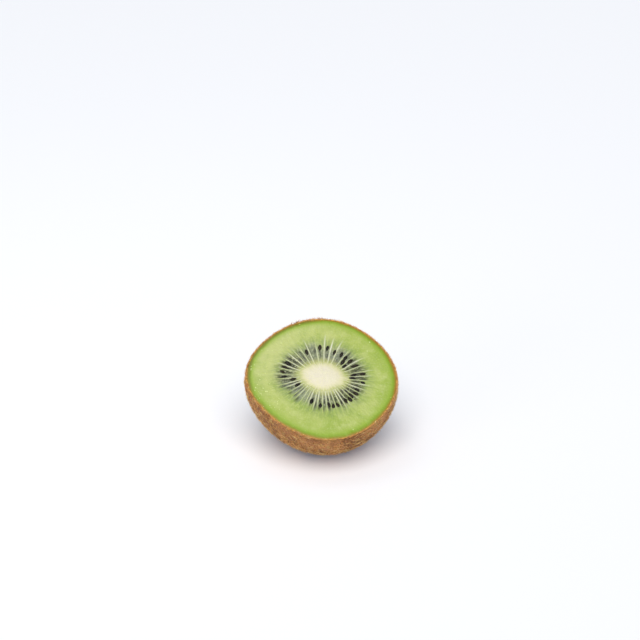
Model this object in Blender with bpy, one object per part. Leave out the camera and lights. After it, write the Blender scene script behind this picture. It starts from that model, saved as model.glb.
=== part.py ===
"""Half of a kiwi fruit, cut across its middle and lying on its round side with the cut face up.

Metres, +Z up. The fruit rests on z = 0, and the origin is there, under the middle of its box.
Shapes are worked out in the cut's own frame: x across the cut, y up its slope, z straight out of
it, so that the fruit's long axis is about z and its stem end is at z = -HALF_LENGTH.
"""

import math
import random

import bmesh
import bpy
from mathutils import Matrix, Vector

# The fruit
FRUIT_WIDTH = 0.054
FRUIT_DEPTH = 0.0508
HALF_LENGTH = 0.0301
END_FULLNESS = 2.11  # 2 is an ellipsoid, and more is blunter
END_SHIFT = Vector((0.0005, 0.0020, 0))  # how far aside of the middle of the cut the stem end lies
BULGE = 0.039  # how much wider it is half way down than a plain round end would be
SECTION_TURN = math.radians(-13)  # how far the outline's width is turned from level
SWELLS = (  # how often round the outline, share of the radius, where the first one is
    (1, 0.0145, math.radians(85)),
    (2, 0.0094, math.radians(-64)),
    (3, 0.0133, math.radians(-58)),
    (4, 0.0185, math.radians(9)),
)
SWELL_FADE = 5  # how fast they fade below the cut

# How it lies
LEAN = math.radians(26.8)
REST_SAG = 0.0009  # how far the soft fruit is pressed flat where it rests

# The pale core, which runs from the cut almost to the stem end
CORE_WIDTH = 0.0172
CORE_DEPTH = 0.0122
CORE_PINCH = 0.07  # how much its outline is drawn in between its ends and sides
CORE_LENGTH = 0.0242
CORE_SHIFT = Vector((0.0002, 0.0009, 0))
CORE_DOME = 0.0003
CORE_GAP = 0.0003

# The cut face: seed chambers between thin walls that run out from the core
CHAMBERS = 42
CROWDING = 0.25  # how much narrower the chambers are at the crowded side
CROWDED_TURN = math.radians(277)
CHAMBER_START = 0.05  # shares of the way from core to rim
CHAMBER_END = 0.46
CHAMBER_SINK = 0.0004
FACE_CROWN = 0.00035

# Seeds
SEED_LENGTH = 0.0025
SEED_WIDTH = 0.0013
SEED_THICKNESS = 0.0011
SEED_SEGMENTS = 7
SEED_RINGS = 5
SEED_OUTER = 0.305  # where a chamber's outer and inner seeds lie, as shares of the way to the rim
SEED_INNER = 0.150
SEED_SCATTER = 0.040
OUTER_SEED_CHANCE = 0.62
INNER_SEED_CHANCE = 0.24
SEED_SWAY = 0.12  # share of a chamber's width
SEED_DRAW = 1028
BURIED_TURN = math.radians(240)  # the side where few seeds come to the surface
BURIED_SPREAD = math.radians(38)
BURIED_SHARE = 0.6

# The stem end: a shallow dimple with a pit and a ring of dried sepals
DIMPLE_RADIUS = 0.0055
DIMPLE_DEPTH = 0.0014
SEPALS = 5
SEPAL_RING = 0.0028
SEPAL_SPREAD = 0.0012
SEPAL_RISE = 0.0010
PIT_RADIUS = 0.0016
PIT_DEPTH = 0.0009
STEM_END_STEP = 0.0008
STEM_END_RINGS = 9

# How fine the faces are
FACE_COLUMNS = CHAMBERS * 4
BODY_COLUMNS = CHAMBERS * 2
BODY_RINGS = 14
WALL_RINGS = 6
FACE_STEPS = (0.0, 0.025, 0.07, 0.17, 0.28, 0.38, 0.46, 0.66, 0.85, 1.0)

FLESH_GREEN = (0.50, 0.62, 0.16, 1.0)
CORE_CREAM = (0.88, 0.84, 0.60, 1.0)


def chamber_turn(step):
    """The angle at which a wall lies, for a whole number of chambers, or the angle between walls."""
    even = math.tau * step / CHAMBERS
    return even - CROWDING * math.sin(even - CROWDED_TURN)


def steps(count):
    """Places of count points round a ring, counted in chambers."""
    return [CHAMBERS * index / count for index in range(count)]


def turns(count):
    """The angles of count points round a ring."""
    return [chamber_turn(step) for step in steps(count)]


def oval_point(turn, half_width, half_depth):
    """A point of an oval that lies turned as the fruit's section does."""
    point = Vector((half_width * math.cos(turn), half_depth * math.sin(turn), 0))
    return Matrix.Rotation(SECTION_TURN, 3, "Z") @ point


def rim_point(turn, share=1.0):
    """A point of the fruit's outline at the cut, or of the same outline made smaller."""
    swell = sum(size * math.cos(count * (turn - first)) for count, size, first in SWELLS)
    radius = share * (1 + swell * share**SWELL_FADE)
    return oval_point(turn, FRUIT_WIDTH / 2 * radius, FRUIT_DEPTH / 2 * radius)


def core_point(turn, share=1.0, gap=0.0):
    """A point of the core's outline, or of one that stands a gap outside it."""
    size = share * (1 - CORE_PINCH * math.sin(2 * turn) ** 2)
    return CORE_SHIFT + oval_point(turn, CORE_WIDTH / 2 * size + gap, CORE_DEPTH / 2 * size + gap)


def smooth(low, high, value):
    """0 below low, 1 above high, and a smooth rise between them."""
    share = min(1.0, max(0.0, (value - low) / (high - low)))
    return share * share * (3 - 2 * share)


def chamber_wave(step):
    """0 on the walls between seed chambers and 1 in the middle of each."""
    return math.sqrt(abs(math.sin(math.pi * step)))


def face_height(step, share):
    """How far the cut face stands out, at a share of the way from the core to the rim."""
    crown = FACE_CROWN * math.sin(math.pi * share)
    along = smooth(0.0, CHAMBER_START, share) * (1 - smooth(CHAMBER_END - 0.16, CHAMBER_END, share))
    return crown - CHAMBER_SINK * along * chamber_wave(step)


def face_point(step, share):
    """A point of the cut face, at a place round it counted in chambers."""
    turn = chamber_turn(step)
    point = core_point(turn, gap=CORE_GAP).lerp(rim_point(turn), share)
    point.z = face_height(step, share)
    return point


def stem_end_relief(turn, radius):
    """How far the stem end stands out beyond the plain round end."""
    dimple = DIMPLE_DEPTH * math.exp(-((radius / DIMPLE_RADIUS) ** 2))
    ring = math.exp(-(((radius - SEPAL_RING) / SEPAL_SPREAD) ** 2))
    sepals = SEPAL_RISE * ring * (0.55 + 0.45 * math.cos(SEPALS * turn))
    pit = PIT_DEPTH * math.exp(-((radius / PIT_RADIUS) ** 4))
    return sepals - dimple - pit


def body_point(turn, share):
    """A point of the skin, where the outline has shrunk to this share of the cut's."""
    downward = (1 - share**END_FULLNESS) ** (1 / END_FULLNESS)
    point = rim_point(turn, share) * (1 + BULGE * 4 * downward * (1 - downward))
    point.z = -HALF_LENGTH * downward - stem_end_relief(turn, point.length)
    return point + END_SHIFT * downward


def body_shares():
    """The shrinking of the outline from ring to ring, from the rim to the stem end."""
    last = STEM_END_STEP * STEM_END_RINGS / (FRUIT_WIDTH / 2)
    final_angle = math.acos(last)
    shares = [math.cos(final_angle * step / BODY_RINGS) for step in range(1, BODY_RINGS + 1)]
    return shares + [last * step / STEM_END_RINGS for step in range(STEM_END_RINGS - 1, 0, -1)]


def core_share(depth):
    """How wide the core is at a depth below the cut, as a share of its width there."""
    return math.sqrt(max(0.0, 1 - (depth / CORE_LENGTH) ** 2))


def core_depths():
    """Depths of the core's rings below the cut, closer together towards its tip."""
    return [CORE_LENGTH * math.sin(math.pi / 2 * step / WALL_RINGS) for step in range(1, WALL_RINGS)]


def add_ring(mesh, points):
    return [mesh.verts.new(point) for point in points]


def join_rings(mesh, first, second):
    """Faces between two rings of as many points, or of which the first has twice as many."""
    count = len(second)
    for index in range(count):
        after = (index + 1) % count
        if len(first) == count:
            mesh.faces.new((first[index], first[after], second[after], second[index]))
            continue
        a, b, c = (first[(2 * index + step) % len(first)] for step in range(3))
        mesh.faces.new((a, b, second[index]))
        mesh.faces.new((b, second[after], second[index]))
        mesh.faces.new((b, c, second[after]))


def close_ring(mesh, ring, point):
    """A fan of faces from a ring to one point."""
    tip = mesh.verts.new(point)
    for index, vertex in enumerate(ring):
        mesh.faces.new((vertex, ring[(index + 1) % len(ring)], tip))


def build_flesh():
    """The flesh with its skin: the cut face, the hollow that the core fills, and the round end."""
    mesh = bmesh.new()
    face = [
        add_ring(mesh, [face_point(step, share) for step in steps(FACE_COLUMNS)])
        for share in FACE_STEPS
    ]
    for inner, outer in zip(face, face[1:]):
        join_rings(mesh, inner, outer)

    body = []
    for share in body_shares():
        columns = BODY_COLUMNS if body else FACE_COLUMNS
        body.append(add_ring(mesh, [body_point(turn, share) for turn in turns(columns)]))
    join_rings(mesh, face[-1], body[0])
    for upper, lower in zip(body, body[1:]):
        join_rings(mesh, upper, lower)
    close_ring(mesh, body[-1], body_point(0, 0))

    hollow = []
    for depth in core_depths():
        points = [core_point(turn, core_share(depth), CORE_GAP) for turn in turns(BODY_COLUMNS)]
        hollow.append(add_ring(mesh, [point - Vector((0, 0, depth)) for point in points]))
    join_rings(mesh, face[0], hollow[0])
    for upper, lower in zip(hollow, hollow[1:]):
        join_rings(mesh, upper, lower)
    close_ring(mesh, hollow[-1], CORE_SHIFT + Vector((0, 0, -CORE_LENGTH - CORE_GAP)))
    bmesh.ops.recalc_face_normals(mesh, faces=mesh.faces)
    return mesh


def build_core():
    """The core: a low dome at the cut and a long rounded taper below it."""
    mesh = bmesh.new()
    edge = add_ring(mesh, [core_point(turn) for turn in turns(BODY_COLUMNS)])
    crown = add_ring(
        mesh,
        [core_point(turn, 0.6) + Vector((0, 0, CORE_DOME * (1 - 0.6**2))) for turn in turns(CHAMBERS)],
    )
    join_rings(mesh, edge, crown)
    close_ring(mesh, crown, CORE_SHIFT + Vector((0, 0, CORE_DOME)))
    upper = edge
    for depth in core_depths():
        points = [core_point(turn, core_share(depth)) for turn in turns(BODY_COLUMNS)]
        lower = add_ring(mesh, [point - Vector((0, 0, depth)) for point in points])
        join_rings(mesh, upper, lower)
        upper = lower
    close_ring(mesh, upper, CORE_SHIFT + Vector((0, 0, -CORE_LENGTH)))
    bmesh.ops.recalc_face_normals(mesh, faces=mesh.faces)
    return mesh


def seed_clearness(turn):
    """1 where seeds show as often as they can, and less on the side where they are buried."""
    offset = math.remainder(turn - BURIED_TURN, math.tau)
    return 1 - BURIED_SHARE * math.exp(-((offset / BURIED_SPREAD) ** 2))


def seed_places():
    """(place in chambers, share) of every seed that shows at the cut."""
    draw = random.Random(SEED_DRAW)
    places = []
    for chamber in range(CHAMBERS):
        for where, chance in ((SEED_OUTER, OUTER_SEED_CHANCE), (SEED_INNER, INNER_SEED_CHANCE)):
            step = chamber + 0.5 + SEED_SWAY * draw.uniform(-1, 1)
            share = where + SEED_SCATTER * draw.uniform(-1, 1)
            if draw.random() < chance * seed_clearness(chamber_turn(step)):
                places.append((step, share))
    return places


def seed_matrix(step, share):
    """Puts a seed on the floor of its chamber, pointing away from the core."""
    outward = (face_point(step, share + 0.05) - face_point(step, share - 0.05)).normalized()
    across = Vector((0, 0, 1)).cross(outward).normalized()
    facing = outward.cross(across)
    matrix = Matrix((outward, across, facing)).transposed().to_4x4()
    matrix.translation = face_point(step, share)
    return matrix


def add_seeds(collection):
    """One small egg-shaped solid for each seed."""
    for number, (step, share) in enumerate(seed_places()):
        mesh = bmesh.new()
        bmesh.ops.create_uvsphere(mesh, u_segments=SEED_SEGMENTS, v_segments=SEED_RINGS, radius=0.5)
        for vertex in mesh.verts:
            vertex.co = Vector((vertex.co.z, vertex.co.x, vertex.co.y))
            narrowing = 1 - 0.35 * max(0.0, -2 * vertex.co.x)
            vertex.co = Vector(
                (
                    vertex.co.x * SEED_LENGTH,
                    vertex.co.y * SEED_WIDTH * narrowing,
                    vertex.co.z * SEED_THICKNESS * narrowing,
                )
            )
        bmesh.ops.transform(mesh, matrix=seed_matrix(step, share), verts=mesh.verts)
        bmesh.ops.recalc_face_normals(mesh, faces=mesh.faces)
        new_object(f"seed_{number}", mesh, None, collection)


def new_material(name, colour, roughness):
    material = bpy.data.materials.new(name)
    material.use_nodes = True
    shader = material.node_tree.nodes["Principled BSDF"]
    shader.inputs["Base Color"].default_value = colour
    shader.inputs["Roughness"].default_value = roughness
    shader.inputs["Metallic"].default_value = 0.0
    material.diffuse_color = colour
    return material


def new_object(name, mesh, material, collection):
    data = bpy.data.meshes.new(name)
    mesh.to_mesh(data)
    mesh.free()
    if material:
        data.materials.append(material)
    thing = bpy.data.objects.new(name, data)
    collection.objects.link(thing)
    return thing


def lay_down(mesh):
    """The matrix that leans the fruit, sinks it by REST_SAG and centres its box on the origin."""
    lean = Matrix.Rotation(LEAN, 4, "X")
    placed = [lean @ vertex.co for vertex in mesh.verts]
    low = Vector([min(point[axis] for point in placed) for axis in range(3)])
    high = Vector([max(point[axis] for point in placed) for axis in range(3)])
    middle = (low + high) / 2
    return Matrix.Translation((-middle.x, -middle.y, -low.z - REST_SAG)) @ lean


def press_flat(mesh, placing):
    """Cuts off what would lie below the surface, and closes the cut with one flat face."""
    inverse = placing.inverted()
    down = (inverse.to_3x3() @ Vector((0, 0, -1))).normalized()
    everything = mesh.verts[:] + mesh.edges[:] + mesh.faces[:]
    cut = bmesh.ops.bisect_plane(
        mesh, geom=everything, plane_co=inverse.translation, plane_no=down, clear_outer=True
    )
    edges = [item for item in cut["geom_cut"] if isinstance(item, bmesh.types.BMEdge)]
    bmesh.ops.contextual_create(mesh, geom=edges)


def fuse(thing, collection):
    """Joins every object of the collection to the thing, and removes them."""
    union = thing.modifiers.new("fuse", "BOOLEAN")
    union.operation = "UNION"
    union.operand_type = "COLLECTION"
    union.collection = collection
    union.solver = "EXACT"
    graph = bpy.context.evaluated_depsgraph_get()
    joined = bpy.data.meshes.new_from_object(thing.evaluated_get(graph))
    thing.modifiers.remove(union)
    thing.data = joined
    for seed in list(collection.objects):
        bpy.data.objects.remove(seed)
    bpy.data.collections.remove(collection)


def main():
    for thing in list(bpy.data.objects):
        bpy.data.objects.remove(thing)
    scene = bpy.context.scene.collection
    seeds = bpy.data.collections.new("seeds")
    scene.children.link(seeds)

    flesh_mesh = build_flesh()
    placing = lay_down(flesh_mesh)
    press_flat(flesh_mesh, placing)
    flesh = new_object("flesh", flesh_mesh, new_material("flesh", FLESH_GREEN, 0.35), scene)
    core = new_object("core", build_core(), new_material("core", CORE_CREAM, 0.45), scene)
    add_seeds(seeds)
    fuse(flesh, seeds)

    fruit = bpy.data.objects.new("kiwi_half", None)
    scene.objects.link(fruit)
    fruit.matrix_world = placing
    for thing in (flesh, core):
        thing.parent = fruit
        thing.data.shade_smooth()
        thing.data.set_sharp_from_angle(angle=math.radians(40))


main()
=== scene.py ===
import math
import random

import bpy
import numpy as np
from mathutils import Matrix, Vector


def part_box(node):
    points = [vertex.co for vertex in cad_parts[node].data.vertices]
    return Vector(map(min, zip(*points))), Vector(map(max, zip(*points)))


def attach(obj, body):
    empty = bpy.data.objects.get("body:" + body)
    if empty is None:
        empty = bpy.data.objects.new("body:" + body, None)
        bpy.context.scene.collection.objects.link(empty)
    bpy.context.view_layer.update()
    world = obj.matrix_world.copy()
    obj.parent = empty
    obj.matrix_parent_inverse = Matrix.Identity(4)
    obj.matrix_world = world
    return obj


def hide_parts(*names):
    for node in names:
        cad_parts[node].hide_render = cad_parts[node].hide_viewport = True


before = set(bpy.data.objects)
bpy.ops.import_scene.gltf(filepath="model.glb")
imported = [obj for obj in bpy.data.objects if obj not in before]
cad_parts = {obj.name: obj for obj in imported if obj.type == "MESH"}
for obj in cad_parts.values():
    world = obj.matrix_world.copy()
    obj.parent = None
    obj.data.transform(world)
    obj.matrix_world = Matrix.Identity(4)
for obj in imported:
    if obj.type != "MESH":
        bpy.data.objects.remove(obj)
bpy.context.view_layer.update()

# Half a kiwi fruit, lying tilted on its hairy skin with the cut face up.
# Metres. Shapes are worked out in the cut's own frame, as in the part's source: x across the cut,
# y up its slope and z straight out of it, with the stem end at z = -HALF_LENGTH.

# The fruit, as in the solids
FRUIT_WIDTH = 0.054
FRUIT_DEPTH = 0.0508
HALF_LENGTH = 0.0301
END_FULLNESS = 2.11
END_SHIFT = (0.0005, 0.0020)
BULGE = 0.039
SECTION_TURN = math.radians(-13)
SWELLS = (
    (1, 0.0145, math.radians(85)),
    (2, 0.0094, math.radians(-64)),
    (3, 0.0133, math.radians(-58)),
    (4, 0.0185, math.radians(9)),
)
SWELL_FADE = 5
LEAN = math.radians(26.8)
CORE_WIDTH = 0.0172
CORE_DEPTH = 0.0122
CORE_PINCH = 0.07
CORE_SHIFT = (0.0002, 0.0009)
DIMPLE_RADIUS = 0.0055
DIMPLE_DEPTH = 0.0014
SEPALS = 5
SEPAL_RING = 0.0028
SEPAL_SPREAD = 0.0012
SEPAL_RISE = 0.0010
PIT_RADIUS = 0.0016
PIT_DEPTH = 0.0009

# Skin
SKIN_THICKNESS = 0.00034
SKIN_GAP = 0.00003
SKIN_COLUMNS = 420
SKIN_RINGS = 120  # of the whole ball that it starts as
SKIN_RELIEF = ((0.0030, 0.00006, 61), (0.0011, 0.00004, 62), (0.0006, 0.00002, 63))
SKIN_SETTLE = 0.00006
EDGE_WAVE = 0.00005  # how the cut edge of the skin goes up and down
EDGE_LIFT = 0.00004

# Cut face
CHAMBERS = 42
CROWDING = 0.25  # how much narrower the chambers are at the crowded side
CROWDED_TURN = math.radians(277)
COLUMNS_PER_CHAMBER = 16
CORE_RINGS = 16
RING_STEPS = ((0.0, 0.56, 58), (0.56, 0.955, 20), (0.955, 1.0, 7))  # from, to, how many
BODY_RINGS = 15
WALL_WANDER = 0.17  # share of a chamber's width
WALL_SWAY = 0.026  # how far the walls wander on their way out, as an angle
WALL_ENDS = (0.40, 0.58)  # how far out they show, as shares of the way to the skin
WALL_LONGER = 0.38  # and how much further at most at the top of the cut
WALL_FOOT = (0.00003, 0.00030)  # where the floor of a chamber starts to fall from its wall, and ends
CHAMBER_END = 0.43
CHAMBER_END_DRAW = 0.06
CHAMBER_SINK = 0.00030
FACE_CROWN = 0.00035
CORE_DOME = 0.0003
RIM_DROP = 0.00005
SEED_SWELLING = 0.00010  # how high the flesh stands over a hidden seed
FLESH_GRAIN = ((0.0016, 0.000016, 41), (0.0007, 0.000010, 42))  # hill size, height, draw
CORE_GRAIN = ((0.0011, 0.00002, 44),)
FIBRE_HEIGHT = 0.000022

# Seeds that show, placed as in the solids
SEED_LENGTH = 0.0025
SEED_WIDTH = 0.0013
SEED_THICKNESS = 0.0011
SEED_OUTER = 0.305  # shares of the way from core to rim
SEED_INNER = 0.150
SEED_SCATTER = 0.040
OUTER_SEED_CHANCE = 0.62
INNER_SEED_CHANCE = 0.24
SEED_SWAY = 0.12
SEED_DRAW = 1028
BURIED_TURN = math.radians(240)  # the side where few seeds come to the surface
BURIED_SPREAD = math.radians(38)
BURIED_SHARE = 0.6
BURIED_MILKY = 0.64  # how pale the chambers are there
UPPER_MILKY = 0.40  # and at the top of the cut
SEED_TAPER = (0.45, 0.40)  # how much narrower and thinner a seed is at its point
SEED_TURNED = 16  # degrees at most that it lies turned from straight out
SEED_SIZES = (0.90, 1.18)
SEED_PLUMPNESS = (0.82, 1.12)
SEED_DEEPEST = 0.00030
SEED_PITS = (0.0005, 0.000012)  # their size and depth
HIDDEN_SEED_LENGTHS = (0.0009, 0.0015)
HIDDEN_SEED_WIDTHS = (0.00030, 0.00055)
HIDDEN_SEEDS = ((0.34, 0.74), (0.24, 0.80), (0.14, 0.56))  # reach and chance, in each chamber

# Hairs. A coat has its name, how many, how many to a tuft, how far down from the cut as an angle,
# shortest and longest, thickness, lift from the skin in degrees, tones, and its draws
TUFT_SPREAD = 0.00007
ALL_DOWN = 1.49
SKIN_COATS = (
    ("under_hairs", 19500, 1, ALL_DOWN, (0.0005, 0.0009), 0.000032, (10, 35), (0.0, 0.30), 71),
    ("middle_hairs", 19500, 5, ALL_DOWN, (0.0007, 0.0013), 0.000032, (10, 32), (0.15, 0.85), 73),
    ("outer_hairs", 14400, 6, ALL_DOWN, (0.0014, 0.0027), 0.000044, (6, 22), (0.35, 1.15), 75),
    ("loose_hairs", 3200, 1, ALL_DOWN, (0.0008, 0.0016), 0.000030, (35, 75), (0.4, 1.0), 79),
)
RIM_COAT = ("rim_hairs", 5600, 1, 0.036, (0.0005, 0.0011), 0.000034, (12, 50), (0.2, 0.9), 77)
HAIR_PATCH = 0.012  # hairs lie much the same way over about this distance
TUFT_TURN = 0.7  # how far tufts turn from that, and hairs in a tuft or alone, in radians
TUFTED_HAIR_TURN = 0.16
SINGLE_HAIR_TURN = 0.5
HAIR_ROOTED = 0.00008  # how deep a hair starts in the skin
TABLE_CLEARANCE = 0.00003  # hairs that would reach lower are left off

# Dried stem end, and juice on the cut
SEPAL_START = 0.0010
SEPAL_LENGTH = 0.0034
SEPAL_WIDTH = 0.0022
SEPAL_THICKNESS = 0.00014
SEPAL_CURL = 0.0006
SEPAL_LIFT = 0.00012
SEPAL_CREASES = (0.00022, 0.00010)  # how far its sides turn out, and how high its folds are
STALK_RADIUS = 0.0009
STALK_HEIGHT = 0.0014
STALK_ROUGHNESS = 0.00009
BEADS = 90
BEAD_RADIUS = 0.00024
BEAD_TURN = math.radians(202)
BEAD_SPREAD = math.radians(30)
BEAD_FEWEST = 0.04  # how likely a bead is away from there

# Camera and light
CAMERA_TURN = math.radians(-6.9)
CAMERA_RISE = math.radians(30)
CAMERA_DISTANCE = 0.62
PIXEL = 0.00036  # what a pixel of the 640 pixel frame spans at the fruit
FACE_PIXEL = (322.6, 378.6)  # where the middle of the cut is in the frame
FRAME_PIXELS = 640
SENSOR = 36
LAMPS = (  # name, place, size, power, colour
    ("key", (-0.08, 0.08, 0.36), 0.15, 0.12, (1, 0.98, 0.93)),
    ("fill", (-0.60, -0.42, 0.12), 0.35, 1.1, (1, 0.97, 0.91)),
)
WINDOW_FROM = (-0.07, -0.52, 0.85)
WINDOW_STRENGTH = 2.66
WINDOW_SOFTNESS = math.radians(50)
WINDOW_COLOUR = (1, 0.955, 0.905)
ROOM_COLOUR = (0.78, 0.89, 1.0, 1)
ROOM_STRENGTH = 0.35
TABLE_GLOW = (0.35, 0.60, 1.0, 1.0)
TABLE_GLOW_STRENGTH = 0.09


# Shape of the fruit

def oval(turn, half_width, half_depth):
    """x and y of an oval that lies turned as the fruit's section does."""
    x, y = half_width * np.cos(turn), half_depth * np.sin(turn)
    cos, sin = math.cos(SECTION_TURN), math.sin(SECTION_TURN)
    return np.stack([x * cos - y * sin, x * sin + y * cos], axis=-1)


def rim_curve(turn, share=1.0, inset=0.0):
    """The outline at the cut, or the same made smaller by a share, and then by an inset."""
    swell = sum(size * np.cos(count * (turn - first)) for count, size, first in SWELLS)
    radius = share * (1 + swell * share**SWELL_FADE)
    return oval(turn, FRUIT_WIDTH / 2 * radius - inset, FRUIT_DEPTH / 2 * radius - inset)


def core_curve(turn, share=1.0):
    """The core's outline at the cut."""
    size = share * (1 - CORE_PINCH * np.sin(2 * turn) ** 2)
    return np.array(CORE_SHIFT) + oval(turn, CORE_WIDTH / 2 * size, CORE_DEPTH / 2 * size)


def spoke_ends(turn):
    """Where a line straight out from the core starts and where it meets the rim."""
    return core_curve(np.array([turn]))[0], rim_curve(np.array([turn]))[0]


def chamber_turn(step):
    """The angle at a place round the cut that is counted in chambers, whole numbers being walls."""
    even = math.tau * step / CHAMBERS
    return even - CROWDING * np.sin(even - CROWDED_TURN)


def smooth(low, high, value):
    """0 below low, 1 above high, and a smooth rise between them."""
    share = np.clip((value - low) / (high - low), 0, 1)
    return share * share * (3 - 2 * share)


def near_turn(turn, middle, spread):
    """1 at one angle round the cut, falling to 0 away from it."""
    offset = (turn - middle + math.pi) % math.tau - math.pi
    return np.exp(-((offset / spread) ** 2))


def ripple(points, size, seed, waves=14):
    """A smooth random field, about -1 to 1, whose hills are about this size."""
    draw = np.random.default_rng(seed)
    total = np.zeros(len(points))
    for _ in range(waves):
        way = draw.normal(size=points.shape[1])
        way *= math.tau / size * draw.uniform(0.6, 1.4) / np.linalg.norm(way) / 2
        total += np.cos(points @ way + draw.uniform(0, math.tau))
    return total / math.sqrt(waves)


def relief(points, *ripples):
    """The height of (hill size, height, draw) ripples laid over each other."""
    return sum(height * ripple(points, size, seed) for size, height, seed in ripples)


def stem_end_relief(turn, radius):
    """How far the stem end stands out beyond the plain round end."""
    dimple = DIMPLE_DEPTH * np.exp(-((radius / DIMPLE_RADIUS) ** 2))
    ring = np.exp(-(((radius - SEPAL_RING) / SEPAL_SPREAD) ** 2))
    sepals = SEPAL_RISE * ring * (0.55 + 0.45 * np.cos(SEPALS * turn))
    pit = PIT_DEPTH * np.exp(-((radius / PIT_RADIUS) ** 4))
    return sepals - dimple - pit


def body_surface(turn, share, inset=0.0):
    """Points of the skin's outside, or inset from it, where the outline has shrunk to a share."""
    downward = (1 - np.clip(share, 0, 1) ** END_FULLNESS) ** (1 / END_FULLNESS)
    fuller = 1 + BULGE * 4 * downward * (1 - downward)
    outline = rim_curve(turn, share, inset * share) * fuller[..., None]
    depth = (HALF_LENGTH - inset) * downward + stem_end_relief(turn, np.linalg.norm(outline, axis=-1))
    outline = outline + downward[..., None] * np.array(END_SHIFT)
    return np.concatenate([outline, -depth[..., None]], axis=-1)


def leaned(points):
    """Points of the cut's frame, turned as the fruit leans."""
    cos, sin = math.cos(LEAN), math.sin(LEAN)
    x, y, z = points.T
    return np.stack([x, y * cos - z * sin, y * sin + z * cos], axis=-1)


def lay_down(points):
    """Points of the cut's frame as they lie on the table."""
    return leaned(points) + RESTING_PLACE


def find_resting_place():
    """Where the middle of the cut lies: it is worked out from the box of the flesh solid."""
    turn, share = np.meshgrid(np.linspace(0, math.tau, 721), np.cos(np.linspace(0, 1.57, 160)))
    placed = leaned(body_surface(turn.ravel(), share.ravel()))
    low, high = (np.array(corner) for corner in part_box("flesh"))
    middle = (low + high) / 2 - (placed.min(axis=0) + placed.max(axis=0)) / 2
    return np.array([middle[0], middle[1], high[2] - placed[:, 2].max()])


RESTING_PLACE = find_resting_place()


# Mesh helpers

def deselect_all():
    for thing in bpy.context.selected_objects:
        thing.select_set(False)


def coordinates(thing):
    points = np.empty(len(thing.data.vertices) * 3)
    thing.data.vertices.foreach_get("co", points)
    return points.reshape(-1, 3)


def place_points(thing, points):
    thing.data.vertices.foreach_set("co", points.ravel())
    thing.data.update()


def store(thing, name, values):
    """Keeps one number for each point of the mesh, for its material to read."""
    thing.data.attributes.new(name, "FLOAT", "POINT").data.foreach_set("value", values)


def rested(points):
    """The same points, with those that would be under the table pressed flat onto it."""
    points = points.copy()
    points[:, 2] = np.maximum(points[:, 2], 0.0)
    return points


def copied(model):
    """A copy of a modelled piece, with a mesh of its own."""
    thing = model.copy()
    thing.data = model.data.copy()
    bpy.context.scene.collection.objects.link(thing)
    return thing


def join(things):
    """Makes one piece of several, and keeps it active."""
    deselect_all()
    for thing in things:
        thing.select_set(True)
    bpy.context.view_layer.objects.active = things[0]
    bpy.ops.object.join()
    return things[0]


def face_outwards():
    """Turns the active piece's faces outwards."""
    bpy.ops.object.mode_set(mode="EDIT")
    bpy.ops.mesh.select_all(action="SELECT")
    bpy.ops.mesh.normals_make_consistent(inside=False)
    bpy.ops.object.mode_set(mode="OBJECT")


def finish_piece(thing, name, material, *nodes):
    """Names and paints a piece of the fruit, hangs it from the root, and hides the solids it stands for.
    """
    thing.name = thing.data.name = name
    thing.data.materials.clear()
    thing.data.materials.append(material)
    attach(thing, "root")
    if nodes:
        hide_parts(*nodes)


# Material helpers

def new_material(name):
    material = bpy.data.materials.new(name)
    material.use_nodes = True
    return material, material.node_tree, material.node_tree.nodes["Principled BSDF"]


def rgb(red, green, blue):
    """A colour as seen on screen, 0 to 255, as the shader's own numbers."""
    def linear(value):
        value /= 255
        return value / 12.92 if value <= 0.04045 else ((value + 0.055) / 1.055) ** 2.4

    return (linear(red), linear(green), linear(blue), 1.0)


def feed(tree, value, socket):
    """Sets a socket to a number or colour, or links it to another node's output."""
    if isinstance(value, bpy.types.NodeSocket):
        tree.links.new(value, socket)
    else:
        socket.default_value = value


def stored(tree, name):
    node = tree.nodes.new("ShaderNodeAttribute")
    node.attribute_name = name
    return node.outputs["Fac"]


def mix(tree, share, first, second, blend="MIX"):
    """Two colours mixed."""
    node = tree.nodes.new("ShaderNodeMix")
    node.data_type = "RGBA"
    node.blend_type = blend
    for value, index in ((share, 0), (first, 6), (second, 7)):
        feed(tree, value, node.inputs[index])
    return node.outputs[2]


def rise(tree, value, low, high, start=0.0, end=1.0):
    """A smooth step of a value, from start below low to end above high."""
    node = tree.nodes.new("ShaderNodeMapRange")
    node.interpolation_type = "SMOOTHSTEP"
    names = ("Value", "From Min", "From Max", "To Min", "To Max")
    for name, given in zip(names, (value, low, high, start, end)):
        feed(tree, given, node.inputs[name])
    return node.outputs["Result"]


def maths(tree, operation, first, second=0.0):
    node = tree.nodes.new("ShaderNodeMath")
    node.operation = operation
    feed(tree, first, node.inputs[0])
    feed(tree, second, node.inputs[1])
    return node.outputs[0]


def times(tree, first, second):
    return maths(tree, "MULTIPLY", first, second)


def plus(tree, first, second):
    return maths(tree, "ADD", first, second)


def swing(tree, value, size):
    """How far a noise is from its middle value, made this big."""
    return times(tree, maths(tree, "SUBTRACT", value, 0.5), size)


def noise(tree, place, scale, detail=3.0, roughness=0.55):
    node = tree.nodes.new("ShaderNodeTexNoise")
    tree.links.new(place, node.inputs["Vector"])
    node.inputs["Scale"].default_value = scale
    node.inputs["Detail"].default_value = detail
    node.inputs["Roughness"].default_value = roughness
    return node.outputs["Fac"]


def ramp(tree, value, *stops):
    """A colour for each value, from (value, colour) stops."""
    node = tree.nodes.new("ShaderNodeValToRGB")
    bar = node.color_ramp
    while len(bar.elements) < len(stops):
        bar.elements.new(0.5)
    for element, (position, colour) in zip(bar.elements, stops):
        element.position = position
        element.color = colour
    feed(tree, value, node.inputs["Fac"])
    return node.outputs["Color"]


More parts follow.
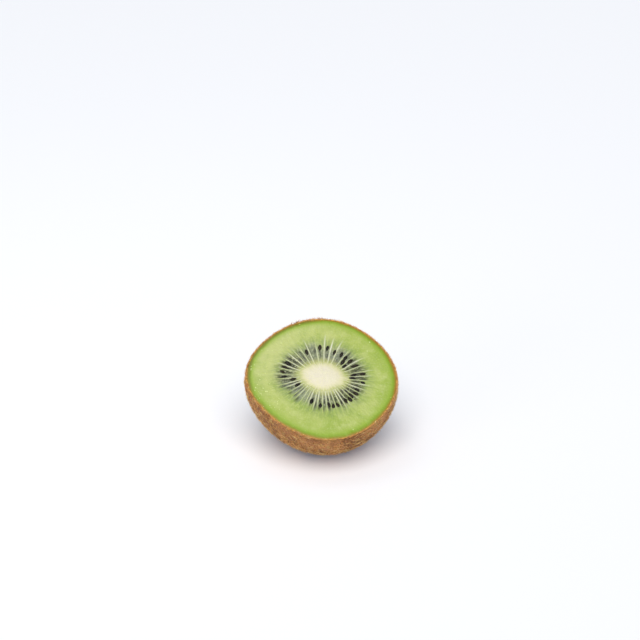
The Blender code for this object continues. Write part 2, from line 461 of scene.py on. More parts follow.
def stretched(tree, place, across, along):
    """Scales the spoke coordinates, so that a noise of them makes streaks that point outwards."""
    node = tree.nodes.new("ShaderNodeMapping")
    node.inputs["Scale"].default_value = (across, across, along)
    tree.links.new(place, node.inputs["Vector"])
    return node.outputs[0]


def own_place(tree):
    return tree.nodes.new("ShaderNodeTexCoord").outputs["Object"]


def bump(tree, height, strength, distance, shader):
    node = tree.nodes.new("ShaderNodeBump")
    node.inputs["Strength"].default_value = strength
    node.inputs["Distance"].default_value = distance
    tree.links.new(height, node.inputs["Height"])
    tree.links.new(node.outputs["Normal"], shader.inputs["Normal"])


# Flesh and core

def column_turns():
    """(turn, chamber, place across the chamber from 0 to 1, its angle) of every column of the cut."""
    draw = np.random.default_rng(5)
    walls = np.arange(CHAMBERS) + WALL_WANDER * draw.uniform(-1, 1, CHAMBERS)
    nexts = np.append(walls[1:], walls[0] + CHAMBERS)
    step = np.arange(COLUMNS_PER_CHAMBER) / COLUMNS_PER_CHAMBER
    across = step - 0.11 * np.sin(math.tau * step)  # closer together at the walls
    turn = chamber_turn(walls[:, None] + (nexts - walls)[:, None] * across)
    chamber = np.repeat(np.arange(CHAMBERS), COLUMNS_PER_CHAMBER)
    angle = np.repeat(chamber_turn(nexts) - chamber_turn(walls), COLUMNS_PER_CHAMBER)
    return turn.ravel(), chamber, np.tile(across, CHAMBERS), angle


def face_reaches():
    """The rings of the cut face from the core's edge, 0, to the skin, 1."""
    steps = [np.linspace(low, high, count, endpoint=False) for low, high, count in RING_STEPS]
    return np.append(np.concatenate(steps), 1.0)[1:]


def seed_clearness(turn):
    """1 where seeds show as often as they can, and less on the side where they are buried."""
    return 1 - BURIED_SHARE * near_turn(turn, BURIED_TURN, BURIED_SPREAD)


def hidden_seeds():
    """(turn, reach, length, width, darkness) of the seeds under the surface of the chambers."""
    draw = np.random.default_rng(23)
    rows = []
    for chamber in range(CHAMBERS):
        for reach, chance in HIDDEN_SEEDS:
            turn = float(chamber_turn(chamber + 0.5 + 0.20 * draw.uniform(-1, 1)))
            row = (
                turn,
                reach + 0.05 * draw.uniform(-1, 1),
                draw.uniform(*HIDDEN_SEED_LENGTHS),
                draw.uniform(*HIDDEN_SEED_WIDTHS),
                draw.uniform(0.35, 1.00) ** 1.2 * (0.45 + 0.55 * seed_clearness(turn)),
            )
            if draw.uniform() < chance:
                rows.append(row)
    return rows


def make_flesh():
    """Flesh and core in one closed skinless body, so that light passes between them unbroken."""
    columns = CHAMBERS * COLUMNS_PER_CHAMBER
    reaches = face_reaches()
    body_start = CORE_RINGS + len(reaches) + 1
    rings = body_start + BODY_RINGS
    deselect_all()
    bpy.ops.mesh.primitive_uv_sphere_add(segments=columns, ring_count=rings, radius=1)
    flesh = bpy.context.active_object
    ball = coordinates(flesh)
    ring = np.rint(np.arccos(np.clip(ball[:, 2], -1, 1)) / math.pi * rings).astype(int)
    column = np.rint(np.arctan2(ball[:, 1], ball[:, 0]) / math.tau * columns).astype(int) % columns

    turn, chamber, across, angle = (values[column] for values in column_turns())
    in_core = ring <= CORE_RINGS
    on_face = (ring > CORE_RINGS) & (ring < body_start)
    in_body = ring >= body_start
    core_share = np.where(in_core, ring / CORE_RINGS, 1.0)
    reach = np.where(in_body, 1.0, 0.0)
    reach[on_face] = reaches[ring[on_face] - CORE_RINGS - 1]

    inset = SKIN_THICKNESS + SKIN_GAP
    circle = np.stack([np.cos(turn), np.sin(turn), reach * 3], axis=-1)
    sway = WALL_SWAY * ripple(circle, 1.1, 31) * smooth(0.0, 0.2, reach) * (1 - smooth(0.7, 1.0, reach))
    inner = core_curve(turn, core_share)
    outer = rim_curve(turn + sway, 1.0, inset)
    flat = inner + (outer - inner) * reach[:, None]

    side = np.minimum(across, 1 - across)
    from_middle = np.linalg.norm(flat - np.array(CORE_SHIFT) * (1 - reach[:, None]), axis=-1)
    to_wall = side * angle * from_middle
    draw = np.random.default_rng(8)
    wall = np.where(across < 0.5, chamber, (chamber + 1) % CHAMBERS)
    upward = 0.5 + 0.5 * np.sin(chamber_turn(np.arange(CHAMBERS)))
    wall_end = draw.uniform(*WALL_ENDS, CHAMBERS)
    wall_end += upward**2 * draw.uniform(0.0, WALL_LONGER, CHAMBERS)
    wall_strength = draw.uniform(0.35, 1.0, CHAMBERS)
    ray = wall_strength[wall] * (1 - smooth(wall_end[wall] - 0.30, wall_end[wall], reach)) * (~in_core)
    chamber_end = (CHAMBER_END + CHAMBER_END_DRAW * draw.uniform(-1, 1, CHAMBERS))[chamber]
    gel = smooth(-0.02, 0.10, reach) * (1 - smooth(chamber_end - 0.17, chamber_end + 0.07, reach))
    gel *= draw.uniform(0.76, 1.0, CHAMBERS)[chamber]
    buried = BURIED_MILKY * near_turn(turn, BURIED_TURN, BURIED_SPREAD)
    milky = np.maximum(buried, UPPER_MILKY * smooth(0.4, 1.0, np.sin(turn)))

    shade = np.zeros(len(flat))
    swelling = np.zeros(len(flat))
    for seed_turn, seed_reach, length, width, darkness in hidden_seeds():
        start, end = spoke_ends(seed_turn)
        outward = (end - start) / np.linalg.norm(end - start)
        offset = flat - (start + (end - start) * seed_reach)
        along = offset @ outward / length
        aside = offset @ np.array([-outward[1], outward[0]]) / width
        blot = np.exp(-((along**2 + aside**2) ** 1.3))
        shade = np.maximum(shade, darkness * blot)
        swelling = np.maximum(swelling, blot)
    shade *= ~in_core & (reach < 0.7)

    grain = relief(flat, *FLESH_GRAIN)
    fibres = np.stack([np.cos(turn) * 9, np.sin(turn) * 9, reach * 2.2], axis=-1)
    fibre = FIBRE_HEIGHT * ripple(fibres, 0.5, 43, 24) * smooth(0.35, 0.5, reach)
    sunk = CHAMBER_SINK * smooth(0.0, 0.06, reach)
    sunk *= 1 - smooth(chamber_end - 0.16, chamber_end + 0.02, reach)
    hollow = smooth(*WALL_FOOT, to_wall)
    height = FACE_CROWN * np.sin(math.pi * reach) - sunk * hollow
    height += SEED_SWELLING * swelling * gel * hollow
    height += (grain + fibre) * (1 - smooth(0.97, 1.0, reach))
    height += (CORE_DOME * (1 - core_share**2) + relief(flat, *CORE_GRAIN)) * in_core
    height -= RIM_DROP * smooth(0.975, 1.0, reach)
    points = np.column_stack([flat, height])

    deep = np.cos((ring[in_body] - body_start + 1) / (BODY_RINGS + 1) * math.pi / 2)
    points[in_body] = body_surface(turn[in_body], deep, inset)
    points[ring == 0] = np.array([*CORE_SHIFT, CORE_DOME])
    points[ring == rings] = body_surface(np.zeros(1), np.zeros(1), inset)[0]
    place_points(flesh, rested(lay_down(points)))

    for name, values in (
        ("reach", reach),
        ("core_share", np.where(in_core, core_share, 1 + reach * 2)),
        ("to_wall", to_wall * 1000),
        ("ray", ray),
        ("gel", gel),
        ("shade", shade),
        ("milky", milky),
        ("fibre_x", np.cos(turn)),
        ("fibre_y", np.sin(turn)),
    ):
        store(flesh, name, values)
    flesh.data.shade_smooth()
    finish_piece(flesh, "flesh_and_core", flesh_material(), "flesh", "core")


def flesh_material():
    """Wet green flesh: pale walls and dark chambers round a cream core, and a greener rim."""
    material, tree, shader = new_material("kiwi_flesh")
    reach, core_share, to_wall, ray, gel, shade, milky = (
        stored(tree, name) for name in ("reach", "core_share", "to_wall", "ray", "gel", "shade", "milky")
    )
    place = own_place(tree)

    spoke = tree.nodes.new("ShaderNodeCombineXYZ")
    for value, socket in zip((stored(tree, "fibre_x"), stored(tree, "fibre_y"), reach), spoke.inputs):
        tree.links.new(value, socket)
    fibres = noise(tree, stretched(tree, spoke.outputs[0], 30.0, 7.0), 1.0, 4.0, 0.6)
    streaks = noise(tree, stretched(tree, spoke.outputs[0], 34.0, 15.0), 1.0, 3.0, 0.65)

    patches = noise(tree, place, 75.0, 2.0, 0.5)
    clouds = noise(tree, place, 210.0, 4.0, 0.6)
    cells = noise(tree, place, 1500.0, 2.0, 0.5)
    wobble = plus(tree, reach, swing(tree, clouds, 0.07))

    # Green in patches, clouds and fibres, with painted light and shade: paler at the upper left as if lit
    # there, and deeper green towards the lower right and the right as if in shade
    base = ramp(
        tree, wobble,
        (0.00, rgb(194, 198, 120)),
        (0.10, rgb(174, 184, 102)),
        (0.44, rgb(172, 191, 98)),
        (0.62, rgb(184, 201, 100)),
        (0.85, rgb(174, 195, 84)),
    )
    side = tree.nodes.new("ShaderNodeSeparateXYZ")
    tree.links.new(place, side.inputs[0])
    # painted light and shade: a field that rises towards the upper left of the cut, paler where it is
    # high and deeper green where it is low
    painted_light_side = maths(tree, "SUBTRACT", side.outputs["Y"], side.outputs["X"])
    painted_light_side = plus(tree, painted_light_side, swing(tree, patches, 0.03))
    base = mix(tree, rise(tree, painted_light_side, 0.002, 0.034, 0.0, 0.60), base, rgb(220, 223, 152))
    base = mix(tree, rise(tree, painted_light_side, 0.002, -0.030, 0.0, 0.18), base, rgb(170, 196, 98))
    # painted shade: deeper green towards the right side of the cut
    base = mix(tree, rise(tree, side.outputs["X"], 0.004, 0.026, 0.0, 0.40), base, rgb(164, 192, 70))
    base = mix(tree, rise(tree, patches, 0.46, 0.66, 0.0, 0.60), base, rgb(154, 183, 62))
    base = mix(tree, rise(tree, patches, 0.46, 0.28, 0.0, 0.50), base, rgb(204, 211, 128))
    base = mix(tree, rise(tree, clouds, 0.47, 0.68, 0.0, 0.48), base, rgb(206, 217, 130))
    base = mix(tree, rise(tree, clouds, 0.47, 0.30, 0.0, 0.50), base, rgb(150, 178, 70))
    grouped = rise(tree, patches, 0.40, 0.62, 0.12, 1.0)
    pale = times(tree, rise(tree, fibres, 0.52, 0.76, 0.0, 0.40), grouped)
    base = mix(tree, pale, base, rgb(208, 219, 136))
    green = times(tree, rise(tree, fibres, 0.44, 0.26, 0.0, 0.26), grouped)
    base = mix(tree, green, base, rgb(142, 172, 60))
    base = mix(tree, rise(tree, cells, 0.50, 0.72, 0.0, 0.26), base, rgb(212, 224, 144))

    # A deeper green band next to the skin, and a thin brown line
    green_edge = ramp(
        tree, wobble,
        (0.84, rgb(166, 192, 74)),
        (0.90, rgb(157, 188, 58)),
        (0.945, rgb(139, 172, 38)),
        (0.972, rgb(150, 150, 30)),
        (1.00, rgb(172, 132, 40)),
    )
    band = maths(tree, "SUBTRACT", wobble, times(tree, side.outputs["Y"], 0.6))
    base = mix(tree, rise(tree, band, 0.79, 0.955), base, green_edge)
    # the olive line at the rim is the flesh's own colour, kept to the upper left side by the same side
    # field
    olive = rise(tree, painted_light_side, 0.016, 0.032, 0.0, 0.60)
    olive = times(tree, olive, rise(tree, wobble, 0.91, 0.97))
    base = mix(tree, olive, base, rgb(112, 116, 30))

    # Dark chambers with hidden seeds, between pale walls
    haze = times(tree, rise(tree, wobble, 0.66, 0.40), rise(tree, fibres, 0.62, 0.38))
    base = mix(tree, times(tree, haze, 0.62), base, rgb(134, 156, 90))
    inside = times(tree, gel, rise(tree, to_wall, 0.06, 0.36))
    chamber = ramp(
        tree, plus(tree, streaks, swing(tree, cells, 0.9)),
        (0.40, rgb(14, 14, 10)),
        (0.48, rgb(40, 42, 29)),
        (0.57, rgb(94, 98, 70)),
        (0.68, rgb(182, 187, 144)),
    )
    chamber = mix(tree, milky, chamber, rgb(176, 186, 154))
    near_core = mix(tree, streaks, rgb(140, 142, 80), rgb(194, 197, 132))
    chamber = mix(tree, rise(tree, wobble, 0.03, 0.16), near_core, chamber)
    base = mix(tree, times(tree, inside, 0.92), base, chamber)
    dark = times(tree, shade, rise(tree, to_wall, 0.04, 0.24))
    base = mix(tree, dark, base, rgb(26, 27, 16))
    line = times(tree, ray, rise(tree, to_wall, 0.35, 0.08))
    base = mix(tree, times(tree, line, 0.95), base, rgb(232, 236, 194))

    # The cream core, frayed at its edge
    edge = plus(tree, core_share, swing(tree, fibres, 0.75))
    edge = plus(tree, edge, swing(tree, clouds, 0.35))
    heart = ramp(
        tree, times(tree, edge, 0.8),
        (0.00, rgb(241, 237, 198)),
        (0.52, rgb(239, 235, 193)),
        (0.68, rgb(230, 228, 172)),
        (0.78, rgb(210, 213, 144)),
        (0.86, rgb(192, 198, 122)),
    )
    base = mix(tree, rise(tree, edge, 1.16, 0.92), base, heart)
    base = mix(tree, 1.0, base, rgb(232, 230, 246), "MULTIPLY")
    tree.links.new(base, shader.inputs["Base Color"])

    tree.links.new(rise(tree, cells, 0.3, 0.8, 0.34, 0.50), shader.inputs["Roughness"])
    shader.inputs["Subsurface Weight"].default_value = 0.30
    shader.inputs["Subsurface Radius"].default_value = (1.0, 1.1, 0.40)
    shader.inputs["Subsurface Scale"].default_value = 0.0004
    shader.inputs["Specular IOR Level"].default_value = 0.32
    shader.inputs["Coat Weight"].default_value = 0.10
    shader.inputs["Coat Roughness"].default_value = 0.16
    pitted = times(tree, cells, rise(tree, core_share, 0.80, 1.10, 0.2, 1.0))
    height = plus(tree, plus(tree, pitted, times(tree, fibres, 0.6)), streaks)
    bump(tree, height, 0.34, 0.00020, shader)
    return material


# Seeds

def seed_places():
    """(turn, reach) of every seed that shows: the draws are those of the solids."""
    draw = random.Random(SEED_DRAW)
    places = []
    for chamber in range(CHAMBERS):
        for where, chance in ((SEED_OUTER, OUTER_SEED_CHANCE), (SEED_INNER, INNER_SEED_CHANCE)):
            turn = float(chamber_turn(chamber + 0.5 + SEED_SWAY * draw.uniform(-1, 1)))
            reach = where + SEED_SCATTER * draw.uniform(-1, 1)
            if draw.random() < chance * seed_clearness(turn):
                places.append((turn, reach))
    return places


def make_seeds():
    """Black seeds, one modelled and then copied into its place in each chamber."""
    deselect_all()
    bpy.ops.mesh.primitive_uv_sphere_add(segments=20, ring_count=14, radius=0.5)
    model = bpy.context.active_object
    shape = coordinates(model)[:, [2, 0, 1]]
    pointed = np.clip(-2 * shape[:, 0], 0, 1)
    shape *= np.column_stack([
        np.full(len(shape), SEED_LENGTH),
        SEED_WIDTH * (1 - SEED_TAPER[0] * pointed**1.5),
        SEED_THICKNESS * (1 - SEED_TAPER[1] * pointed**1.5),
    ])
    draw = np.random.default_rng(3)
    copies = []
    for number, (turn, reach) in enumerate(seed_places()):
        thing = copied(model)
        start, end = spoke_ends(turn)
        outward = (end - start) / np.linalg.norm(end - start)
        turned = math.radians(draw.uniform(-SEED_TURNED, SEED_TURNED))
        outward = np.array(Matrix.Rotation(turned, 2) @ Vector(outward))
        sideways = np.array([-outward[1], outward[0]])
        middle = start + (end - start) * reach
        size = draw.uniform(*SEED_SIZES)
        plump = draw.uniform(*SEED_PLUMPNESS)
        sunk = draw.uniform(0.0, SEED_DEEPEST)
        height = FACE_CROWN * math.sin(math.pi * reach) - CHAMBER_SINK * 0.6
        along, aside, up = (shape * size).T
        flat = middle + along[:, None] * outward + aside[:, None] * sideways * plump
        pits = ripple(shape + number, SEED_PITS[0], number) * SEED_PITS[1]
        place_points(thing, lay_down(np.column_stack([flat, height - sunk + up + pits])))
        store(thing, "tone", np.full(len(shape), draw.uniform()))
        copies.append(thing)
    bpy.data.objects.remove(model)
    seeds = join(copies)
    face_outwards()
    seeds.data.shade_smooth()
    finish_piece(seeds, "seeds", seed_material())


def seed_material():
    """Nearly black, browner on some seeds, finely pitted, and wet."""
    material, tree, shader = new_material("kiwi_seed")
    place = own_place(tree)
    speck = noise(tree, place, 2600.0, 3.0, 0.6)
    body = mix(tree, stored(tree, "tone"), rgb(14, 14, 7), rgb(36, 30, 16))
    body = mix(tree, rise(tree, speck, 0.5, 0.8, 0.0, 0.4), body, rgb(60, 54, 32))
    tree.links.new(body, shader.inputs["Base Color"])
    tree.links.new(rise(tree, speck, 0.3, 0.8, 0.38, 0.60), shader.inputs["Roughness"])
    shader.inputs["Specular IOR Level"].default_value = 0.22
    bump(tree, speck, 0.35, 0.00008, shader)
    return material


# Skin and hairs

def make_skin():
    """The thin brown skin: an open bowl, shaped over the flesh and then given its thickness."""
    deselect_all()
    bpy.ops.mesh.primitive_uv_sphere_add(segments=SKIN_COLUMNS, ring_count=SKIN_RINGS, radius=1)
    skin = bpy.context.active_object
    bpy.ops.object.mode_set(mode="EDIT")
    bpy.ops.mesh.select_all(action="SELECT")
    bpy.ops.mesh.bisect(plane_co=(0, 0, 0), plane_no=(0, 0, 1), clear_outer=True, threshold=0.0001)
    bpy.ops.object.mode_set(mode="OBJECT")
    ball = coordinates(skin)
    turn = np.arctan2(ball[:, 1], ball[:, 0])
    share = np.sqrt(np.clip(1 - ball[:, 2] ** 2, 0, 1))
    points = body_surface(turn, share)
    outward = points / np.linalg.norm(points, axis=1)[:, None]
    edge = ripple(np.column_stack([np.cos(turn), np.sin(turn)]), 0.09, 64)
    points += outward * (relief(points, *SKIN_RELIEF) - SKIN_SETTLE)[:, None]
    points[:, 2] += np.where(share > 0.9999, EDGE_WAVE * edge + EDGE_LIFT, 0.0)
    store(skin, "depth", -points[:, 2] * 1000)
    place_points(skin, rested(lay_down(points)))
    wall = skin.modifiers.new("thickness", "SOLIDIFY")
    wall.thickness = SKIN_THICKNESS
    wall.offset = -1
    wall.use_even_offset = True
    bpy.ops.object.modifier_apply(modifier=wall.name)
    place_points(skin, rested(coordinates(skin)))
    skin.data.shade_smooth()
    bpy.ops.object.shade_smooth_by_angle(angle=math.radians(50))
    finish_piece(skin, "skin", skin_material())


def skin_material():
    """Dull brown skin with darker blotches, tan scuffs and fine grain."""
    material, tree, shader = new_material("kiwi_skin")
    place = own_place(tree)
    blotch = noise(tree, place, 140.0, 5.0, 0.65)
    grain = noise(tree, place, 1400.0, 4.0, 0.7)
    tone = mix(tree, rise(tree, blotch, 0.35, 0.68), rgb(142, 88, 48), rgb(208, 148, 86))
    tone = mix(tree, rise(tree, grain, 0.52, 0.75, 0.0, 0.6), tone, rgb(222, 172, 106))
    tone = mix(tree, rise(tree, grain, 0.46, 0.28, 0.0, 0.5), tone, rgb(106, 60, 34))
    edge = mix(tree, rise(tree, grain, 0.40, 0.60), rgb(150, 96, 40), rgb(212, 160, 72))
    tone = mix(tree, rise(tree, stored(tree, "depth"), 0.45, 0.0, 0.0, 0.85), tone, edge)
    tree.links.new(tone, shader.inputs["Base Color"])
    tree.links.new(rise(tree, grain, 0.3, 0.8, 0.62, 0.85), shader.inputs["Roughness"])
    bump(tree, plus(tree, grain, blotch), 0.6, 0.00025, shader)
    return material


def sepal_points(leaf, turn, draw):
    """Wraps a flat leaf, 0 to 1 long and -1 to 1 wide, onto the stem end, with its tip curled up."""
    along, across = leaf[:, 0], leaf[:, 1]
    radius = SEPAL_START + (SEPAL_LENGTH * draw.uniform(0.8, 1.1)) * along
    half_width = SEPAL_WIDTH / 2 * np.sin(math.pi * (0.22 + 0.78 * along) ** 1.2) + 0.00006
    around = turn + (across * half_width + 0.0003 * draw.normal() * along**2) / radius
    points = body_surface(around, radius / (FRUIT_WIDTH / 2))
    sides, folds = SEPAL_CREASES
    crease = sides * across**2 * along - folds * np.cos(9 * along + 3 * across)
    points[:, 2] -= SEPAL_LIFT + SEPAL_CURL * draw.uniform(0.5, 1.0) * along**2 + crease
    return points


def make_stem_end():
    """Five dried sepals round the broken stalk, in the dimple of the stem end."""
    draw = np.random.default_rng(91)
    deselect_all()
    bpy.ops.mesh.primitive_grid_add(x_subdivisions=12, y_subdivisions=8, size=1)
    model = bpy.context.active_object
    leaf = coordinates(model) * np.array([1, 2, 1]) + np.array([0.5, 0, 0])
    pieces = []
    for number in range(SEPALS):
        thing = copied(model)
        place_points(thing, lay_down(sepal_points(leaf, math.tau * number / SEPALS, draw)))
        thick = thing.modifiers.new("thickness", "SOLIDIFY")
        thick.thickness = SEPAL_THICKNESS
        thick.offset = 0
        bpy.context.view_layer.objects.active = thing
        bpy.ops.object.modifier_apply(modifier=thick.name)
        pieces.append(thing)
    bpy.data.objects.remove(model)

    deselect_all()
    bpy.ops.mesh.primitive_cylinder_add(vertices=16, radius=STALK_RADIUS, depth=STALK_HEIGHT)
    stalk = bpy.context.active_object
    bpy.ops.object.mode_set(mode="EDIT")
    bpy.ops.mesh.select_mode(type="FACE")
    bpy.ops.mesh.select_all(action="DESELECT")
    bpy.ops.object.mode_set(mode="OBJECT")
    for face in stalk.data.polygons:
        face.select = face.normal.z < -0.9
    bpy.ops.object.mode_set(mode="EDIT")
    bpy.ops.mesh.inset(thickness=STALK_RADIUS * 0.3)
    bpy.ops.mesh.extrude_region_move(TRANSFORM_OT_translate={"value": (0, 0, STALK_HEIGHT * 0.35)})
    bpy.ops.mesh.select_all(action="SELECT")
    bpy.ops.mesh.subdivide(number_cuts=1)
    bpy.ops.object.mode_set(mode="OBJECT")
    shape = coordinates(stalk)
    shape += np.column_stack([ripple(shape, 0.0009, seed) for seed in (92, 93, 94)]) * STALK_ROUGHNESS
    root = body_surface(np.zeros(1), np.zeros(1))[0]
    place_points(stalk, lay_down(shape + root - np.array([0, 0, STALK_HEIGHT * 0.25])))
    stem_end = join([*pieces, stalk])
    face_outwards()
    place_points(stem_end, rested(coordinates(stem_end)))
    stem_end.data.shade_smooth()
    bpy.ops.object.shade_smooth_by_angle(angle=math.radians(60))
    finish_piece(stem_end, "stem_end", dry_material())


def dry_material():
    """Dark papery brown of the dried sepals and stalk."""
    material, tree, shader = new_material("dried_sepal")
    grain = noise(tree, own_place(tree), 1100.0, 4.0, 0.65)
    tone = ramp(
        tree, grain,
        (0.30, rgb(58, 38, 26)),
        (0.52, rgb(98, 68, 44)),
        (0.72, rgb(150, 116, 80)),
    )
    tree.links.new(tone, shader.inputs["Base Color"])
    shader.inputs["Roughness"].default_value = 0.85
    bump(tree, grain, 0.6, 0.00012, shader)
    return material


def make_juice():
    """Tiny beads of juice on the cut, most of them towards its left side."""
    draw = np.random.default_rng(97)
    deselect_all()
    bpy.ops.mesh.primitive_uv_sphere_add(segments=10, ring_count=6, radius=1)
    model = bpy.context.active_object
    shape = coordinates(model)
    beads = []
    while len(beads) < BEADS:
        turn, reach = draw.uniform(0, math.tau), draw.uniform(0.50, 0.97)
        radius = BEAD_RADIUS * draw.uniform(0.4, 1.0) ** 2
        here = BEAD_FEWEST + (1 - BEAD_FEWEST) * near_turn(turn, BEAD_TURN, BEAD_SPREAD)
        if draw.uniform() > here:
            continue
        start, end = spoke_ends(turn)
        middle = np.array([*(start + (end - start) * reach), FACE_CROWN * math.sin(math.pi * reach)])
        thing = copied(model)
        stretch = draw.uniform(0.8, 1.3, 2)
        place_points(thing, lay_down(middle + shape * radius * np.array([*stretch, 0.6])))
        beads.append(thing)
    bpy.data.objects.remove(model)
    juice = join(beads)
    juice.data.shade_smooth()
    finish_piece(juice, "juice", juice_material())


def juice_material():
    """Pale green juice with a hard shine."""
    material, tree, shader = new_material("kiwi_juice")
    shader.inputs["Base Color"].default_value = rgb(208, 220, 146)
    shader.inputs["Roughness"].default_value = 0.06
    shader.inputs["Specular IOR Level"].default_value = 0.9
    return material


def hair_roots(count, tuft, deepest, seed):
    """Points on the skin in tufts, with the skin's outward, endward and round directions there."""
    draw = np.random.default_rng(seed)
    count //= tuft
    tries = count * 4
    turn = draw.uniform(0, math.tau, tries)
    angle = draw.uniform(0, deepest, tries)
    tiny = 1e-4

    def at(turns, angles):
        return body_surface(turns, np.cos(angles))

    root = at(turn, angle)
    round_way = (at(turn + tiny, angle) - root) / tiny
    end_way = (at(turn, angle + tiny) - root) / tiny
    outward = np.cross(end_way, round_way)
    area = np.linalg.norm(outward, axis=1)
    kept = np.flatnonzero(draw.uniform(0, area.max() * 0.98, tries) < area)[:count]
    outward = outward[kept] / area[kept, None]
    outward *= np.sign((outward * root[kept]).sum(axis=1))[:, None]
    end_way = end_way[kept] / np.linalg.norm(end_way[kept], axis=1)[:, None]
    round_way = round_way[kept] / np.linalg.norm(round_way[kept], axis=1)[:, None]
    root, outward, end_way, round_way = (
        np.repeat(rows, tuft, axis=0) for rows in (root[kept], outward, end_way, round_way)
    )
    spread = draw.normal(0, TUFT_SPREAD if tuft > 1 else 0, (2, len(root), 1))
    return root + end_way * spread[0] + round_way * spread[1], outward, end_way, round_way


def make_hairs(name, count, tuft, deepest, length, radius, lift, tones, seed, rim=False):
    """Closed three-sided hairs, each bent once as it rises from the skin, and alike in a tuft."""
    root, outward, end_way, round_way = hair_roots(count, tuft, deepest, seed)
    count = len(root)
    draw = np.random.default_rng(seed + 1)
    way = math.pi / 2 + ripple(root, HAIR_PATCH, seed + 2)
    way += np.repeat(draw.normal(0, TUFT_TURN, count // tuft), tuft)
    way += draw.normal(0, TUFTED_HAIR_TURN if tuft > 1 else SINGLE_HAIR_TURN, count)
    flat = end_way * np.cos(way)[:, None] + round_way * np.sin(way)[:, None]
    if rim:
        flat = -end_way * np.cos(way * 0.5)[:, None] + round_way * np.sin(way * 0.5)[:, None]
    rise_low = np.radians(draw.uniform(*lift, count))
    rise_high = rise_low * draw.uniform(0.25, 0.8, count)
    reach = draw.uniform(*length, count)

    def step(angle, size):
        return (outward * np.sin(angle)[:, None] + flat * np.cos(angle)[:, None]) * size[:, None]

    base = root - outward * HAIR_ROOTED
    knee = base + step(rise_low, reach * 0.5)
    tip = knee + step(rise_high, reach * 0.5)
    along = (tip - base) / np.linalg.norm(tip - base, axis=1)[:, None]
    aside = np.cross(along, outward)
    aside /= np.linalg.norm(aside, axis=1)[:, None]
    above = np.cross(aside, along)
    thick = draw.uniform(0.75, 1.2, count)[:, None] * radius
    points = np.empty((count, 7, 3))
    for corner in range(3):
        angle = math.tau * corner / 3
        spoke = (aside * math.cos(angle) + above * math.sin(angle)) * thick
        points[:, corner] = base + spoke
        points[:, 3 + corner] = knee + spoke * 0.7
    points[:, 6] = tip
    placed = lay_down(points.reshape(-1, 3)).reshape(count, 7, 3)
    kept = placed[:, :, 2].min(axis=1) > TABLE_CLEARANCE
    placed = placed[kept]
    count = len(placed)

    quads = [(0, 1, 4, 3), (1, 2, 5, 4), (2, 0, 3, 5)]
    fans = [(3, 4, 6), (4, 5, 6), (5, 3, 6), (2, 1, 0)]
    start = np.arange(count)[:, None] * 7
    corners = np.hstack([start + np.array(face) for face in quads + fans]).ravel()
    sizes = np.tile([4, 4, 4, 3, 3, 3, 3], count)
    data = bpy.data.meshes.new(name)
    data.vertices.add(count * 7)
    data.vertices.foreach_set("co", placed.ravel())
    data.loops.add(len(corners))
    data.loops.foreach_set("vertex_index", corners)
    data.polygons.add(len(sizes))
    data.polygons.foreach_set("loop_start", np.concatenate([[0], np.cumsum(sizes)[:-1]]))
    data.update(calc_edges=True)
    data.validate()
    hairs = bpy.data.objects.new(name, data)
    bpy.context.scene.collection.objects.link(hairs)
    tone = tones[0] + (tones[1] - tones[0]) * draw.uniform(0, 1, len(root) // tuft)
    tone = np.repeat(tone, tuft)[kept] + draw.normal(0, 0.08, count)
    store(hairs, "tone", np.repeat(np.clip(tone, 0, 1), 7))
    store(hairs, "along", np.tile([0, 0, 0, 0.5, 0.5, 0.5, 1], count).astype(float))
    hairs.data.shade_smooth()
    finish_piece(hairs, name, HAIR_MATERIAL)


def hair_material():
    """Brown hairs, each its own tone, paler at the tip."""
    material, tree, shader = new_material("kiwi_hair")
    patch = noise(tree, own_place(tree), 160.0, 3.0, 0.6)
    tone = plus(tree, stored(tree, "tone"), swing(tree, patch, 1.5))
    colour = ramp(
        tree, tone,
        (0.0, rgb(114, 64, 36)),
        (0.45, rgb(220, 158, 92)),
        (0.95, rgb(255, 228, 156)),
    )
    colour = mix(tree, rise(tree, patch, 0.50, 0.64, 0.0, 0.5), colour, rgb(214, 130, 92))
    colour = mix(tree, rise(tree, stored(tree, "along"), 0.3, 1.0, 0.0, 0.25), colour, rgb(246, 208, 150))
    tree.links.new(colour, shader.inputs["Base Color"])
    shader.inputs["Roughness"].default_value = 0.6
    return material


HAIR_MATERIAL = hair_material()


# Table, light and camera

def make_floor():
    """A plain white table, faintly lit from itself so that shadows on it stay cool."""
    deselect_all()
    bpy.ops.mesh.primitive_plane_add(size=6)
    floor = bpy.context.active_object
    floor.name = "floor"
    material, tree, shader = new_material("white_table")
    shader.inputs["Base Color"].default_value = rgb(242, 241, 242)
    shader.inputs["Roughness"].default_value = 0.7
    shader.inputs["Specular IOR Level"].default_value = 0.15
    shader.inputs["Emission Color"].default_value = TABLE_GLOW
    shader.inputs["Emission Strength"].default_value = TABLE_GLOW_STRENGTH
    floor.data.materials.append(material)


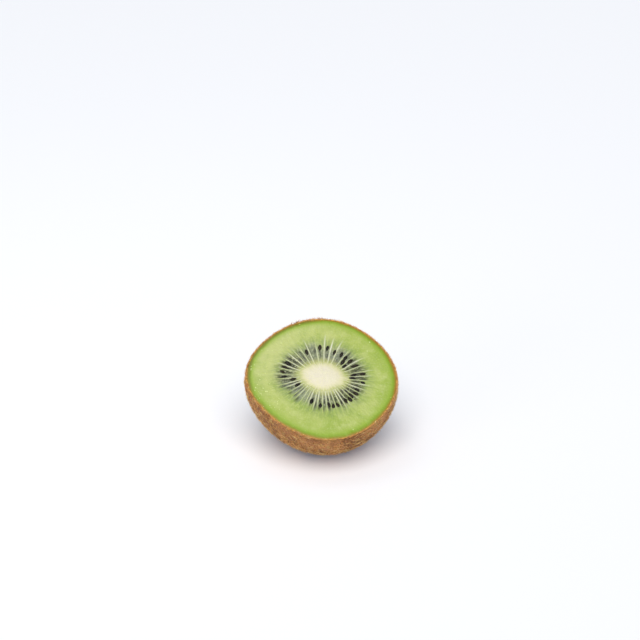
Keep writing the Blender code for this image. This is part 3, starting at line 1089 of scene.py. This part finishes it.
def add_light(name, place, size, power, colour):
    """A square soft lamp aimed at the fruit."""
    bpy.ops.object.light_add(type="AREA", location=place)
    light = bpy.context.active_object
    light.name = name
    light.data.size = size
    light.data.energy = power
    light.data.color = colour
    light.rotation_euler = (Vector((0, 0, 0.02)) - Vector(place)).to_track_quat("-Z", "Y").to_euler()


def set_light():
    """A pale blue room, two small warm lamps, and a broad soft light from the front and above."""
    world = bpy.data.worlds.new("studio")
    world.use_nodes = True
    background = world.node_tree.nodes["Background"]
    background.inputs["Color"].default_value = ROOM_COLOUR
    background.inputs["Strength"].default_value = ROOM_STRENGTH
    bpy.context.scene.world = world
    for lamp in LAMPS:
        add_light(*lamp)
    bpy.ops.object.light_add(type="SUN", location=WINDOW_FROM)
    window = bpy.context.active_object
    window.name = "window"
    window.data.energy = WINDOW_STRENGTH
    window.data.angle = WINDOW_SOFTNESS
    window.data.color = WINDOW_COLOUR
    window.rotation_euler = (-window.location).to_track_quat("-Z", "Y").to_euler()
    bpy.context.scene.view_settings.view_transform = "Standard"


def set_camera():
    """The photograph's view: the middle of the cut falls on its pixel."""
    towards = Vector((
        math.sin(CAMERA_TURN) * math.cos(CAMERA_RISE),
        -math.cos(CAMERA_TURN) * math.cos(CAMERA_RISE),
        math.sin(CAMERA_RISE),
    ))
    right = Vector((math.cos(CAMERA_TURN), math.sin(CAMERA_TURN), 0))
    up = towards.cross(right)
    middle = Vector(RESTING_PLACE)
    place = middle + towards * CAMERA_DISTANCE
    aside = (FRAME_PIXELS / 2 - FACE_PIXEL[0]) * PIXEL
    above = (FACE_PIXEL[1] - FRAME_PIXELS / 2) * PIXEL
    target = middle + right * aside + up * above
    bpy.ops.object.camera_add(location=place)
    camera = bpy.context.active_object
    camera.rotation_euler = (target - place).to_track_quat("-Z", "Y").to_euler()
    camera.data.sensor_width = SENSOR
    camera.data.lens = SENSOR * CAMERA_DISTANCE / (PIXEL * FRAME_PIXELS)
    camera.data.clip_start = 0.01
    bpy.context.scene.camera = camera


make_flesh()
make_seeds()
make_skin()
make_stem_end()
make_juice()
for coat in SKIN_COATS:
    make_hairs(*coat)
make_hairs(*RIM_COAT, rim=True)
make_floor()
set_light()
set_camera()

bpy.context.view_layer.update()
